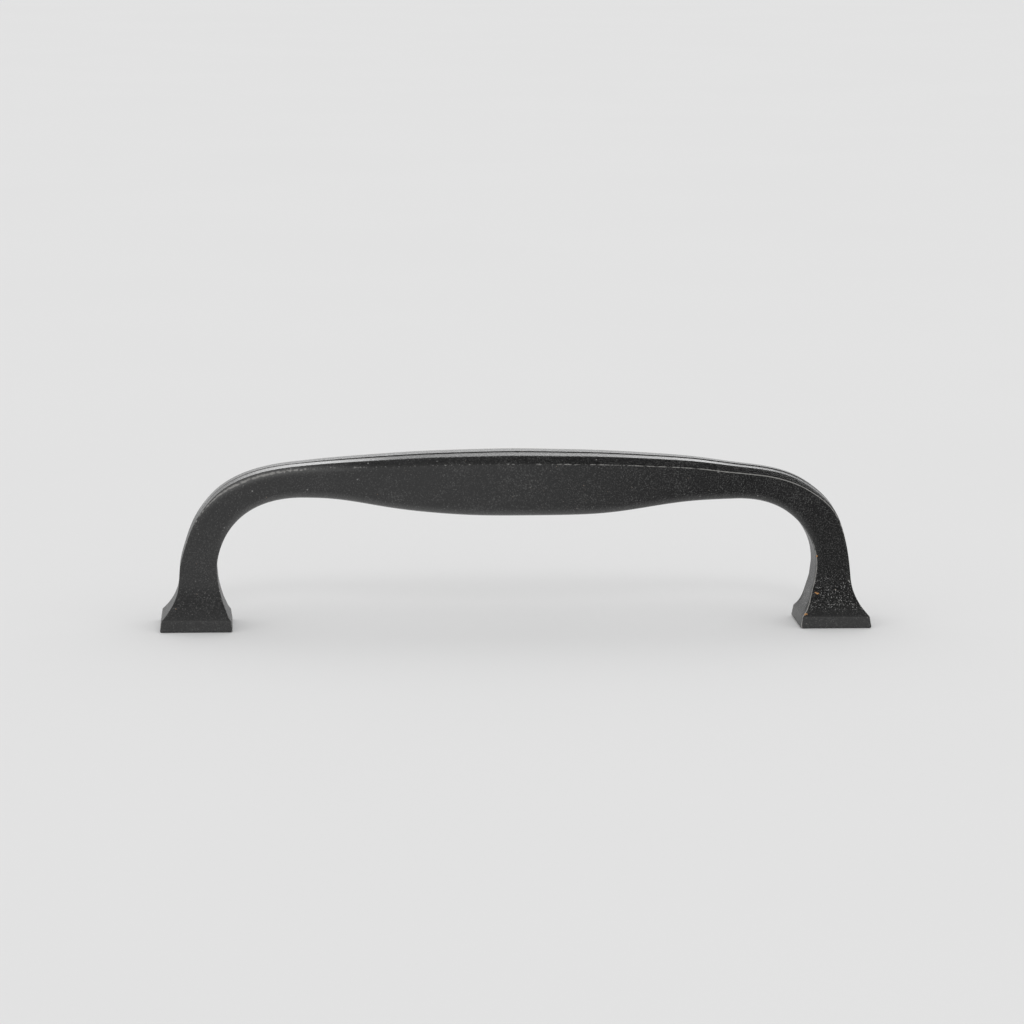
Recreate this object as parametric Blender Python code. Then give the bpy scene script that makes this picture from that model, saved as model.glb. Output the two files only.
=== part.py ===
"""Cast bow pull for a drawer or cupboard front, with its two fixing screws and washers.

Units are metres. X runs along the pull, -Y is its front face, and Z points away
from the front that it is screwed to, with Z = 0 on the undersides of the feet.
"""

import math

import bmesh
import bpy
import numpy as np

MM = 0.001

# Length and height of the bow
HOLE_CENTRES = 128.0 * MM
CROWN_HEIGHT = 35.55 * MM
CROWN_RADIUS = 420.0 * MM
BELLY_HEIGHT = 23.0 * MM
ARCH_HEIGHT = 26.65 * MM
ARCH_INSET = 20.8 * MM
BEND_INSET = 19.5 * MM
BELLY_EASE = 0.63
ARCH_EASE = 0.33
INNER_BEND_EASE = 0.59
SHOULDER_EASE = 0.70
LEG_EASE = 0.59

# Section of the grip and of the legs
GRIP_DEPTH = 9.0 * MM
LEG_DEPTH = 7.4 * MM
LEG_WIDTH = 7.1 * MM
LEG_INSET = 0.4 * MM
LEG_STRAIGHT = 2.2 * MM
LEG_LEAN = 0.12
INNER_EDGE_RADIUS = 1.1 * MM
OUTER_EDGE_RADIUS = 0.35 * MM
INNER_EDGE_FADE = 0.35

# Stepped crown along the grip: bevel, sloping ledge, low riser and flat top
BEVEL_REACH = 1.35 * MM
BEVEL_END_REACH = 0.38 * MM
BEVEL_RISE = 1.4 * MM
LEDGE_RISE = 0.55 * MM
RISER_RISE = 0.2 * MM
RISER_REACH = 0.15 * MM
TOP_WIDTH = 3.1 * MM
ARCH_CROWN_SHARE = 0.60
CROWN_FADE_START = 0.20
CROWN_FADE_END = 0.82

# Feet: a concave flare on all four sides, down to a rectangular block
FOOT_LENGTH = 14.3 * MM
FOOT_DEPTH = 12.6 * MM
FOOT_DRAFT = 0.25 * MM
BLOCK_HEIGHT = 2.3 * MM
COVE_HEIGHT = 7.4 * MM
FOOT_EDGE = 0.3 * MM

# Fixings, drawn on a front of this thickness
FRONT_THICKNESS = 18.0 * MM
SCREW_DIAMETER = 3.9 * MM
THREAD_ENGAGEMENT = 5.9 * MM
SCREW_POINT = 0.6 * MM
HEAD_DIAMETER = 8.0 * MM
HEAD_HEIGHT = 3.1 * MM
HEAD_RIM = 0.9 * MM
RECESS_SPAN = 4.4 * MM
RECESS_WIDTH = 1.1 * MM
RECESS_DEPTH = 1.8 * MM
RECESS_TAPER = 0.55
RECESS_MOUTH = 1.45
WASHER_DIAMETER = 9.0 * MM
WASHER_THICKNESS = 0.8 * MM
HOLE_RUNOUT = 3.6 * MM
HOLE_MOUTH = 0.5 * MM
DRILL_POINT_ANGLE = math.radians(118.0)

# Clearances
THREAD_CLEARANCE = 0.25 * MM
WASHER_CLEARANCE = 0.2 * MM
SEAT_GAP = 0.3 * MM

# Facets
GRIP_STEPS = 16
BEND_STEPS = 18
COVE_STEPS = 9
EDGE_STEPS = 4
ROUND_STEPS = 40
DOME_STEPS = 6
MERGE_DISTANCE = 0.001 * MM
SMOOTH_ANGLE = math.radians(28.0)

# Places that follow from the sizes
FOOT_X = HOLE_CENTRES / 2
ARCH_X = FOOT_X - ARCH_INSET
BEND_X = FOOT_X - BEND_INSET
LEG_INNER_X = FOOT_X - LEG_INSET - LEG_WIDTH / 2
LEG_OUTER_X = FOOT_X - LEG_INSET + LEG_WIDTH / 2
COVE_TOP = BLOCK_HEIGHT + COVE_HEIGHT
LEG_TOP = COVE_TOP + LEG_STRAIGHT
HOLE_RADIUS = SCREW_DIAMETER / 2 + THREAD_CLEARANCE
HOLE_DEPTH = THREAD_ENGAGEMENT + HOLE_RUNOUT
WASHER_TOP = -FRONT_THICKNESS
HEAD_SEAT = WASHER_TOP - WASHER_THICKNESS - SEAT_GAP
SCREW_LENGTH = THREAD_ENGAGEMENT - HEAD_SEAT


def clear_scene():
    """Remove every object of the open scene."""
    for obj in list(bpy.data.objects):
        bpy.data.objects.remove(obj, do_unlink=True)


def metal(name, colour, roughness, metallic):
    """One plain metal finish."""
    material = bpy.data.materials.new(name)
    material.use_nodes = True
    shader = material.node_tree.nodes["Principled BSDF"]
    shader.inputs["Base Color"].default_value = (*colour, 1.0)
    shader.inputs["Roughness"].default_value = roughness
    shader.inputs["Metallic"].default_value = metallic
    return material


def add_object(name, bm, material=None):
    """Close the bmesh into a named object with outward faces."""
    bmesh.ops.recalc_face_normals(bm, faces=bm.faces)
    mesh = bpy.data.meshes.new(name)
    bm.to_mesh(mesh)
    bm.free()
    mesh.shade_smooth()
    mesh.set_sharp_from_angle(angle=SMOOTH_ANGLE)
    if material:
        mesh.materials.append(material)
    obj = bpy.data.objects.new(name, mesh)
    bpy.context.scene.collection.objects.link(obj)
    return obj


def cut(target, cutter):
    """Cut one object with another, which stays as a hidden guide."""
    cutter.hide_render = True
    cutter.display_type = "WIRE"
    boolean = target.modifiers.new(cutter.name, "BOOLEAN")
    boolean.operation = "DIFFERENCE"
    boolean.solver = "EXACT"
    boolean.object = cutter


def bezier(start, start_handle, end_handle, end, t):
    """Points of a cubic curve in the XZ plane at the parameters t."""
    t = t[:, None]
    weights = ((1 - t) ** 3, 3 * (1 - t) ** 2 * t, 3 * (1 - t) * t**2, t**3)
    corners = (start, start_handle, end_handle, end)
    return sum(w * np.array(c) for w, c in zip(weights, corners))


def fall(t):
    """Smooth step from 1 at t = 0 down to 0 at t = 1."""
    t = np.clip(t, 0.0, 1.0)
    return 1 - t * t * (3 - 2 * t)


def cove(reach, drop):
    """How far a cove of this reach stands out at a drop below its vertical top."""
    radius = (COVE_HEIGHT**2 + reach**2) / (2 * reach)
    return radius - np.sqrt(radius**2 - drop**2)


def grip_stations():
    """Stations from the middle to the arch.

    Each has an inner edge, an outer edge, a half depth, a crown share and an inner radius.
    """
    t = np.linspace(0.0, 1.0, GRIP_STEPS + 1)
    inner = bezier(
        (0.0, BELLY_HEIGHT),
        (BELLY_EASE * ARCH_X, BELLY_HEIGHT),
        ((1 - ARCH_EASE) * ARCH_X, ARCH_HEIGHT),
        (ARCH_X, ARCH_HEIGHT),
        t,
    )
    run = inner[:, 0] / ARCH_X
    crown_x = BEND_X * run
    outer = np.stack([crown_x, CROWN_HEIGHT - crown_x**2 / (2 * CROWN_RADIUS)], axis=1)
    swell = np.cos(run * math.pi / 2) ** 2
    half = (LEG_DEPTH + (GRIP_DEPTH - LEG_DEPTH) * swell) / 2
    share = 1 - (1 - ARCH_CROWN_SHARE) * run**2
    return inner, outer, half, share, np.full_like(t, INNER_EDGE_RADIUS)


def bend_stations():
    """The same along the bend, where the crown fades out into the leg."""
    t = np.linspace(0.0, 1.0, BEND_STEPS + 1)[1:]
    inner = bezier(
        (ARCH_X, ARCH_HEIGHT),
        (ARCH_X + INNER_BEND_EASE * (LEG_INNER_X - ARCH_X), ARCH_HEIGHT),
        (LEG_INNER_X, LEG_TOP + INNER_BEND_EASE * (ARCH_HEIGHT - LEG_TOP)),
        (LEG_INNER_X, LEG_TOP),
        t,
    )
    crown_end = CROWN_HEIGHT - BEND_X**2 / (2 * CROWN_RADIUS)
    leg_x = LEG_OUTER_X - LEG_LEAN * LEG_STRAIGHT
    reach = SHOULDER_EASE * (leg_x - BEND_X)
    rise = LEG_EASE * (crown_end - LEG_TOP)
    outer = bezier(
        (BEND_X, crown_end),
        (BEND_X + reach, crown_end - reach * BEND_X / CROWN_RADIUS),
        (leg_x - LEG_LEAN * rise, LEG_TOP + rise),
        (leg_x, LEG_TOP),
        t,
    )
    half = np.full_like(t, LEG_DEPTH / 2)
    softness = fall((t - INNER_EDGE_FADE) / (1 - INNER_EDGE_FADE))
    radius = OUTER_EDGE_RADIUS + (INNER_EDGE_RADIUS - OUTER_EDGE_RADIUS) * softness
    share = ARCH_CROWN_SHARE * fall((t - CROWN_FADE_START) / (CROWN_FADE_END - CROWN_FADE_START))
    return inner, outer, half, share, radius


def foot_stations():
    """The same down the cove and the block, ending on the underside."""
    top_half = FOOT_LENGTH / 2 - FOOT_DRAFT
    top_depth = FOOT_DEPTH / 2 - FOOT_DRAFT
    drop = np.linspace(0.0, COVE_HEIGHT, COVE_STEPS + 1)
    inner_x = LEG_INNER_X - cove(LEG_INNER_X - FOOT_X + top_half, drop)
    outer_reach = FOOT_X + top_half - LEG_OUTER_X - LEG_LEAN * COVE_HEIGHT
    outer_x = LEG_OUTER_X + LEG_LEAN * drop + cove(outer_reach, drop)
    half = LEG_DEPTH / 2 + cove(top_depth - LEG_DEPTH / 2, drop)
    block_z = np.array([FOOT_EDGE, 0.0])
    block_growth = np.array([FOOT_DRAFT, FOOT_DRAFT - FOOT_EDGE])
    z = np.concatenate([COVE_TOP - drop, block_z])
    inner_x = np.concatenate([inner_x, FOOT_X - top_half - block_growth])
    outer_x = np.concatenate([outer_x, FOOT_X + top_half + block_growth])
    half = np.concatenate([half, top_depth + block_growth])
    inner = np.stack([inner_x, z], axis=1)
    outer = np.stack([outer_x, z], axis=1)
    return inner, outer, half, np.zeros_like(z), np.full_like(z, OUTER_EDGE_RADIUS)


def round_corner(before, corner, after):
    """Points of a curve that rounds a corner between two points, each (stations, 2)."""
    t = np.linspace(0.0, 1.0, EDGE_STEPS)[:, None, None]
    curve = (1 - t) ** 2 * before + 2 * (1 - t) * t * corner + t**2 * after
    return list(curve)


def half_section(height, half, share, radius):
    """Section points as (out from the middle plane, up from the inner edge) per station.

    The share is 1 where the crown is at its full height and 0 where it has faded out.
    The riser keeps its full height along the whole grip.
    """
    zero = np.zeros_like(height)

    def at(out, up):
        return np.stack([out + zero, up + zero], axis=1)

    riser = RISER_RISE * np.minimum(share / ARCH_CROWN_SHARE, 1.0)
    ledge = riser + LEDGE_RISE * share
    face_top = height - ledge - BEVEL_RISE * share
    bevel_reach = BEVEL_END_REACH + (BEVEL_REACH - BEVEL_END_REACH) * share
    bevel_slope = BEVEL_RISE * share / bevel_reach
    e = OUTER_EDGE_RADIUS
    points = round_corner(at(half - radius, 0.0), at(half, 0.0), at(half, radius))
    points += round_corner(
        at(half, face_top - e),
        at(half, face_top),
        at(half - e, face_top + e * bevel_slope),
    )
    points.append(at(half - bevel_reach, height - ledge))
    points.append(at(TOP_WIDTH / 2 + RISER_REACH, height - riser))
    points.append(at(TOP_WIDTH / 2, height))
    return np.stack(points, axis=1)


def casting_rings():
    """Rings of points along the whole bow, as an array of (station, point, xyz)."""
    parts = [grip_stations(), bend_stations(), foot_stations()]
    inner, outer, half, share, radius = (np.concatenate(column) for column in zip(*parts))
    across = outer - inner
    height = np.linalg.norm(across, axis=1)
    section = half_section(height, half, share, radius)
    front = np.empty((*section.shape[:2], 3))
    up = section[:, :, 1:] / height[:, None, None]
    front[:, :, 0::2] = inner[:, None, :] + up * across[:, None, :]
    front[:, :, 1] = -section[:, :, 0]
    back = front[:, ::-1] * (1.0, -1.0, 1.0)
    right = np.concatenate([front, back], axis=1)
    left = right[:0:-1] * (-1.0, 1.0, 1.0)
    return np.concatenate([left, right], axis=0)


def pull_casting(material):
    """The bow with its legs and feet, one casting, with a blind hole in each foot."""
    bm = bmesh.new()
    rings = [[bm.verts.new(point) for point in ring] for ring in casting_rings()]
    for ring, following in zip(rings, rings[1:]):
        for i in range(len(ring)):
            bm.faces.new((ring[i - 1], ring[i], following[i], following[i - 1]))
    bm.faces.new(rings[0])
    bm.faces.new(rings[-1])
    casting = add_object("pull_casting", bm, material)
    for side, x in (("left", -FOOT_X), ("right", FOOT_X)):
        hole = turned(f"hole_cutter_{side}", hole_profile())
        hole.location.x = x
        cut(casting, hole)
    return casting


def turned(name, profile, material=None):
    """A body turned round Z from (radius, height) points."""
    bm = bmesh.new()
    verts = [bm.verts.new((radius, 0.0, height)) for radius, height in profile]
    edges = [bm.edges.new(pair) for pair in zip(verts, verts[1:])]
    if profile[0][0] > 0.0:
        edges.append(bm.edges.new((verts[-1], verts[0])))
    bmesh.ops.spin(
        bm,
        geom=verts + edges,
        cent=(0.0, 0.0, 0.0),
        axis=(0.0, 0.0, 1.0),
        angle=math.tau,
        steps=ROUND_STEPS,
    )
    bmesh.ops.remove_doubles(bm, verts=bm.verts, dist=MERGE_DISTANCE)
    return add_object(name, bm, material)


def hole_profile():
    """Blind drilled hole with a chamfered mouth, reaching a little below the foot."""
    mouth = HOLE_RADIUS + HOLE_MOUTH
    point = HOLE_RADIUS / math.tan(DRILL_POINT_ANGLE / 2)
    return [
        (0.0, HOLE_DEPTH + point),
        (HOLE_RADIUS, HOLE_DEPTH),
        (HOLE_RADIUS, HOLE_MOUTH),
        (mouth, 0.0),
        (mouth, -HOLE_MOUTH),
        (0.0, -HOLE_MOUTH),
    ]


def screw_profile():
    """Plain shank over a pan head, with Z = 0 at the head's bearing face."""
    shank = SCREW_DIAMETER / 2
    head = HEAD_DIAMETER / 2
    angles = np.linspace(0.0, math.pi / 2, DOME_STEPS + 1)
    rim = -HEAD_RIM
    dome = [(head * math.cos(a), rim - (HEAD_HEIGHT - HEAD_RIM) * math.sin(a)) for a in angles[:-1]]
    return [
        (0.0, SCREW_LENGTH),
        (shank - SCREW_POINT / 2, SCREW_LENGTH),
        (shank, SCREW_LENGTH - SCREW_POINT),
        (shank, 0.0),
        (head, 0.0),
        *dome,
        (0.0, -HEAD_HEIGHT),
    ]


def cross_recess(name):
    """A tapered cross, wide at the head's top and narrow at its floor."""
    span, width = RECESS_SPAN / 2, RECESS_WIDTH / 2
    arm = [(span, -width), (span, width), (width, width)]
    bottom = -HEAD_HEIGHT + RECESS_DEPTH
    below = -HEAD_HEIGHT - RECESS_DEPTH
    rings = []
    bm = bmesh.new()
    for z, scale in ((below, RECESS_MOUTH), (bottom, RECESS_TAPER)):
        ring = []
        for turn in range(4):
            c, s = round(math.cos(turn * math.pi / 2)), round(math.sin(turn * math.pi / 2))
            ring += [bm.verts.new(((c * x - s * y) * scale, (s * x + c * y) * scale, z)) for x, y in arm]
        rings.append(ring)
    for i in range(len(rings[0])):
        bm.faces.new((rings[0][i - 1], rings[0][i], rings[1][i], rings[1][i - 1]))
    for ring in rings:
        bm.faces.new(ring)
    return add_object(name, bm)


def washer_profile():
    """Flat ring, with Z = 0 on the face that bears on the front."""
    bore = SCREW_DIAMETER / 2 + WASHER_CLEARANCE
    rim = WASHER_DIAMETER / 2
    return [
        (bore, 0.0),
        (rim, 0.0),
        (rim, -WASHER_THICKNESS),
        (bore, -WASHER_THICKNESS),
    ]


def fixings(side, x, material):
    """The screw and washer that hold one foot, with their origins on the screw's axis."""
    axis = bpy.data.objects.new(f"fixing_axis_{side}", None)
    axis.location.x = x
    bpy.context.scene.collection.objects.link(axis)
    washer = turned(f"washer_{side}", washer_profile(), material)
    washer.location.z = WASHER_TOP
    screw = turned(f"fixing_screw_{side}", screw_profile(), material)
    screw.location.z = HEAD_SEAT
    recess = cross_recess(f"recess_cutter_{side}")
    recess.parent = screw
    cut(screw, recess)
    for obj in (washer, screw):
        obj.parent = axis


def main():
    """Build the pull and its fixings in the working position."""
    clear_scene()
    black_iron = metal("black_cast_iron", (0.045, 0.045, 0.046), 0.55, 0.6)
    zinc = metal("zinc_plated_steel", (0.62, 0.62, 0.6), 0.35, 1.0)
    pull_casting(black_iron)
    for side, x in (("left", -FOOT_X), ("right", FOOT_X)):
        fixings(side, x, zinc)


main()
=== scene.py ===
"""Looks of a cast bow pull with its two fixing screws and washers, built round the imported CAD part.

Units are metres in the CAD part's own frame: X along the pull, -Y its front face, Z up
from the undersides of the feet. The floor at Z = 0 stands for the front it is screwed to.
"""

import logging
import math
from dataclasses import dataclass
from enum import Enum
from typing import Any, Union

import bpy
import numpy as np
from mathutils import Matrix, Vector


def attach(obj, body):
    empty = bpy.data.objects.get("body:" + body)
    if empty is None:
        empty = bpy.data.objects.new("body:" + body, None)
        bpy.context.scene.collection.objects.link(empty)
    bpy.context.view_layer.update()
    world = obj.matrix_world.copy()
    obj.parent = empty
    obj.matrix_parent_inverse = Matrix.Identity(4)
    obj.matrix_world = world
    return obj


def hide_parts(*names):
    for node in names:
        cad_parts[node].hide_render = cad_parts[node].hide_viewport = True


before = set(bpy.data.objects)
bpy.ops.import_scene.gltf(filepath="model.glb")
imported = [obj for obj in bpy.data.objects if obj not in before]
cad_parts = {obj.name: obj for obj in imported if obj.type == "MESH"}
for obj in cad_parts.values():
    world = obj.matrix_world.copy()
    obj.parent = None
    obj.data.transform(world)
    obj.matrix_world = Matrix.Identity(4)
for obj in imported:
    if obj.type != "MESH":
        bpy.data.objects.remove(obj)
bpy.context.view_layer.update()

MM = 0.001
NOISE_MIDDLE = 0.5
log = logging.getLogger("scene")


class Side(Enum):
    """One end of the pull, with its sign along X."""

    LEFT = -1
    RIGHT = 1

    @property
    def label(self) -> str:
        """The side's name as the CAD nodes and bodies spell it."""
        return self.name.lower()


class Slot(Enum):
    """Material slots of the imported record."""

    IRON = "black_cast_iron"
    ZINC = "zinc_plated_steel"


Number = Union["Shade", float]
Colour = tuple[float, float, float]
Triple = tuple[float, float, float]
# Where a smooth step begins and ends.
Step = tuple[float, float]
# Size of a noise's features, and the number of its finer layers.
Noise = tuple[float, float]


class Shade:
    """One shader output, so that node maths reads as ordinary arithmetic."""

    def __init__(self, tree: bpy.types.NodeTree, socket: bpy.types.NodeSocket) -> None:
        """Wrap a socket.

        Args:
            tree: The node tree that the socket belongs to.
            socket: The output that this value stands for.
        """
        self.tree = tree
        self.socket = socket

    def node(self, kind: str, settings: dict[str, Any], output: str | int = 0, **inputs: Any) -> "Shade":
        """Add any other node to the same tree.

        Args:
            kind: The node's type.
            settings: Properties set before its inputs, because they can change which inputs it has.
            output: Name or place of the output that is used.
            inputs: Values for its inputs, by name with _ for a space, or by place as i0, i1 and so on.

        Returns:
            The chosen output.
        """
        made = self.tree.nodes.new(kind)
        for name, value in settings.items():
            setattr(made, name, value)
        for name, value in inputs.items():
            place = int(name[1:]) if name[0] == "i" and name[1:].isdigit() else name.replace("_", " ")
            if isinstance(value, Shade):
                self.tree.links.new(value.socket, made.inputs[place])
            else:
                made.inputs[place].default_value = value
        return Shade(self.tree, made.outputs[output])

    def maths(self, operation: str, first: Number, second: Number = 0.0) -> "Shade":
        """One maths node.

        Args:
            operation: Its operation.
            first: The first value.
            second: The second value.

        Returns:
            The result.
        """
        return self.node("ShaderNodeMath", {"operation": operation}, i0=first, i1=second)

    def __add__(self, other: Number) -> "Shade":
        """Sum."""
        return self.maths("ADD", self, other)

    def __radd__(self, other: float) -> "Shade":
        """Sum, with the number first."""
        return self.maths("ADD", other, self)

    def __sub__(self, other: Number) -> "Shade":
        """Difference."""
        return self.maths("SUBTRACT", self, other)

    def __rsub__(self, other: float) -> "Shade":
        """Difference, with the number first."""
        return self.maths("SUBTRACT", other, self)

    def __mul__(self, other: Number) -> "Shade":
        """Product."""
        return self.maths("MULTIPLY", self, other)

    def __rmul__(self, other: float) -> "Shade":
        """Product, with the number first."""
        return self.maths("MULTIPLY", other, self)

    def ramp(self, low: float, high: float) -> "Shade":
        """Smooth step from 0 to 1.

        Args:
            low: Where the step begins.
            high: Where it ends. It may lie under low, which turns the step round.

        Returns:
            The step's value.
        """
        settings = {"interpolation_type": "SMOOTHSTEP"}
        if low < high:
            return self.node("ShaderNodeMapRange", settings, i0=self, i1=low, i2=high)
        return 1.0 - self.node("ShaderNodeMapRange", settings, i0=self, i1=high, i2=low)

    def tint(self, dark: Colour, light: Colour) -> "Shade":
        """Colour between two, with this value as the share of the second.

        Args:
            dark: Colour at 0.
            light: Colour at 1.

        Returns:
            The mixed colour.
        """
        return self.over((*dark, 1.0), light)

    def over(self, under: Union["Shade", tuple[float, ...]], colour: Colour) -> "Shade":
        """Lay one colour over another, with this value as its cover.

        Args:
            under: The colour below, varying or plain with its alpha.
            colour: The colour laid over it.

        Returns:
            The mixed colour.
        """
        settings = {"data_type": "RGBA", "clamp_factor": True}
        # The colours of a mix node are its inputs 6 and 7 and its output 2.
        return self.node("ShaderNodeMix", settings, 2, i0=self, i6=under, i7=(*colour, 1.0))


class Surface:
    """A new material with its Principled shader and the common inputs of a procedural finish."""

    def __init__(self, name: str) -> None:
        """Make the material.

        Args:
            name: The material's name.
        """
        self.material = bpy.data.materials.new(name)
        self.material.use_nodes = True
        self.tree = self.material.node_tree
        self.shader = self.tree.nodes["Principled BSDF"]
        place = self.tree.nodes.new("ShaderNodeTexCoord")
        self.place = Shade(self.tree, place.outputs["Object"])

    def noise(self, size: float, detail: float, stretch: Triple = (1.0, 1.0, 1.0)) -> Shade:
        """Noise with features of about this size.

        Args:
            size: Size of a feature.
            detail: Number of finer layers.
            stretch: How much the noise is packed along each axis.

        Returns:
            The noise, from 0 to 1.
        """
        mapped = self.place.node("ShaderNodeMapping", {}, Vector=self.place, Scale=stretch)
        return self.place.node("ShaderNodeTexNoise", {}, Vector=mapped, Scale=1.0 / size, Detail=detail)

    def cells(self, size: float, output: str) -> Shade:
        """Voronoi cells of about this size.

        Args:
            size: Size of a cell.
            output: The node's output, Distance or Color.

        Returns:
            The chosen output.
        """
        return self.place.node("ShaderNodeTexVoronoi", {}, output, Vector=self.place, Scale=1.0 / size)

    def attribute(self, name: str) -> Shade:
        """A value stored on the mesh's points.

        Args:
            name: The attribute's name.

        Returns:
            Its value.
        """
        return self.place.node("ShaderNodeAttribute", {"attribute_name": name}, "Fac")

    def feed(self, name: str, value: Shade) -> None:
        """Link a value to one of the shader's inputs.

        Args:
            name: The input's name.
            value: The value.
        """
        self.tree.links.new(value.socket, self.shader.inputs[name])

    def bump(self, height: Shade, depth: float, strength: float) -> None:
        """Feed the shader's normal from a height.

        Args:
            height: The height, from 0 to 1.
            depth: The depth that a height of 1 stands for.
            strength: Share of the bump that shows.
        """
        made = height.node("ShaderNodeBump", {}, Height=height, Distance=depth, Strength=strength)
        self.feed("Normal", made)


@dataclass(frozen=True)
class CastIronFinish:
    """Satin black over sand-cast iron: pebbly grain, pale worn arrises, specks, a little rust and painted
    highlights.
    """

    dark: Colour = (0.0010, 0.0010, 0.0011)
    light: Colour = (0.0380, 0.0379, 0.0374)
    worn: Colour = (0.300, 0.295, 0.285)
    speck: Colour = (0.200, 0.198, 0.195)
    # Painted glints: pale flecks on the grain, and paler sand on the matt parts.
    painted_glint: Colour = (0.260, 0.260, 0.255)
    sand: Colour = (0.060, 0.060, 0.059)
    # Colour of the painted highlight on the inner edge, the feet's blocks and the left bend.
    highlight_colour: Colour = (0.075, 0.075, 0.074)
    rust: Colour = (0.480, 0.240, 0.085)
    pebble_noise: Noise = (0.42 * MM, 3.0)
    grain_noise: Noise = (0.22 * MM, 2.0)
    blotch_noise: Noise = (6.0 * MM, 4.0)
    chip_noise: Noise = (0.60 * MM, 4.0)
    speck_size: float = 1.6 * MM
    tone_step: Step = (0.485, 0.65)
    sand_glint_step: Step = (0.52, 0.66)
    glint_step: Step = (0.68, 0.74)
    worn_step: Step = (0.48, 0.80)
    rust_step: Step = (0.50, 0.75)
    speck_reach: Step = (0.13, 0.05)
    speck_choice: Step = (0.66, 0.72)
    # Shares of the noises and attributes in each look.
    tone_mix: Triple = (0.15, 0.40, 0.45)
    worn_chip: float = 1.3
    worn_haze: float = 0.10
    rust_chip: float = 1.6
    rust_grain: float = 1.2
    glint_chip: float = 0.30
    glint_grit: float = 0.08
    glint_least: float = 0.15
    highlight_least: float = 0.4
    highlight_grain: float = 1.2
    matt_least: float = 0.12
    matt_chip: float = 0.5
    bump_mix: Triple = (0.62, 0.38, -0.12)
    grain_depth: float = 0.19 * MM
    roughness: float = 0.25
    blotch_roughness: float = 0.16
    pebble_roughness: float = 0.12
    worn_polish: float = 0.08
    worn_metal: float = 0.35
    gloss: float = 0.25
    coat_roughness: float = 0.25

    def material(self) -> bpy.types.Material:
        """Make the finish.

        Returns:
            The material, which reads the attributes wear, rust and sheen, the painted highlight and the grit
            that shows painted glints.
        """
        made = Surface("black_cast_iron_finish")
        pebble = made.noise(*self.pebble_noise)
        grain = made.noise(*self.grain_noise)
        blotch = made.noise(*self.blotch_noise)
        chip = made.noise(*self.chip_noise)
        wear, painted_highlight, rust, grit_glint, sheen = map(made.attribute, ("wear", "painted_highlight", "rust", "grit_glint", "sheen"))
        chipped = chip - NOISE_MIDDLE
        worn = (wear + chipped * self.worn_chip).ramp(*self.worn_step)
        cell = made.cells(self.speck_size, "Distance").ramp(*self.speck_reach)
        speck = cell * made.cells(self.speck_size, "Color").ramp(*self.speck_choice)
        rusted = rust + chipped * self.rust_chip + (grain - NOISE_MIDDLE) * self.rust_grain
        # Painted glints: pale flecks on the sand grain where its grit is coarse, for sparkles of light off
        # it.
        painted_glint = (grain + self.glint_chip * chipped + self.glint_grit * grit_glint).ramp(*self.glint_step)
        # The grain's tone follows its relief: darker in its pits as painted shade, paler on its tips as worn
        # paint and painted highlight.
        tone = self.tone_mix[0] * blotch + self.tone_mix[1] * pebble + self.tone_mix[2] * grain
        colour = tone.ramp(*self.tone_step).tint(self.dark, self.light)
        # Fainter painted glints: paler grain tips on the matt parts, for the light that they catch.
        colour = ((1.0 - sheen) * grain.ramp(*self.sand_glint_step)).over(colour, self.sand)
        # Painted highlight: a paler colour on the inner edge, the feet's blocks and the left bend, for light
        # that they catch.
        colour = (painted_highlight * (self.highlight_least + self.highlight_grain * grain)).over(colour, self.highlight_colour)
        # Lay the painted glints over the colour.
        colour = (painted_glint * (self.glint_least + (1.0 - self.glint_least) * grit_glint)).over(colour, self.painted_glint)
        colour = speck.over(colour, self.speck)
        colour = (worn + self.worn_haze * wear).over(colour, self.worn)
        colour = rusted.ramp(*self.rust_step).over(colour, self.rust)
        made.feed("Base Color", colour)
        rough = self.roughness + self.blotch_roughness * blotch
        rough = rough + self.pebble_roughness * (pebble - NOISE_MIDDLE)
        rough = rough + (1.0 - sheen) * (self.matt_least + self.matt_chip * chip)
        made.feed("Roughness", rough - self.worn_polish * worn)
        made.feed("Metallic", self.worn_metal * worn)
        made.feed("Coat Weight", sheen)
        made.shader.inputs["Coat Roughness"].default_value = self.coat_roughness
        made.shader.inputs["Specular IOR Level"].default_value = self.gloss
        relief = self.bump_mix[0] * pebble + self.bump_mix[1] * grain + self.bump_mix[2] * speck
        made.bump(relief, self.grain_depth, 1.0)
        return made.material


@dataclass(frozen=True)
class ZincFinish:
    """Bright zinc plate with a fine turned grain and dull patches."""

    dull: Colour = (0.46, 0.46, 0.45)
    bright: Colour = (0.70, 0.70, 0.68)
    patch_noise: Noise = (1.4 * MM, 3.0)
    grain_noise: Noise = (0.16 * MM, 2.0)
    patch_step: Step = (0.25, 0.9)
    turned: Triple = (0.25, 0.25, 1.0)
    wear_shine: float = 0.35
    grain_depth: float = 0.012 * MM
    grain_strength: float = 0.4
    roughness: float = 0.24
    patch_roughness: float = 0.22
    wear_polish: float = 0.10

    def material(self) -> bpy.types.Material:
        """Make the finish.

        Returns:
            The material, which reads the attribute wear.
        """
        made = Surface("zinc_plate_finish")
        patch = made.noise(*self.patch_noise)
        grain = made.noise(*self.grain_noise, self.turned)
        wear = made.attribute("wear")
        tone = (patch + self.wear_shine * wear).ramp(*self.patch_step)
        made.feed("Base Color", tone.tint(self.dull, self.bright))
        made.feed("Roughness", self.roughness + self.patch_roughness * patch - self.wear_polish * wear)
        made.shader.inputs["Metallic"].default_value = 1.0
        made.bump(grain, self.grain_depth, self.grain_strength)
        return made.material


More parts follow.
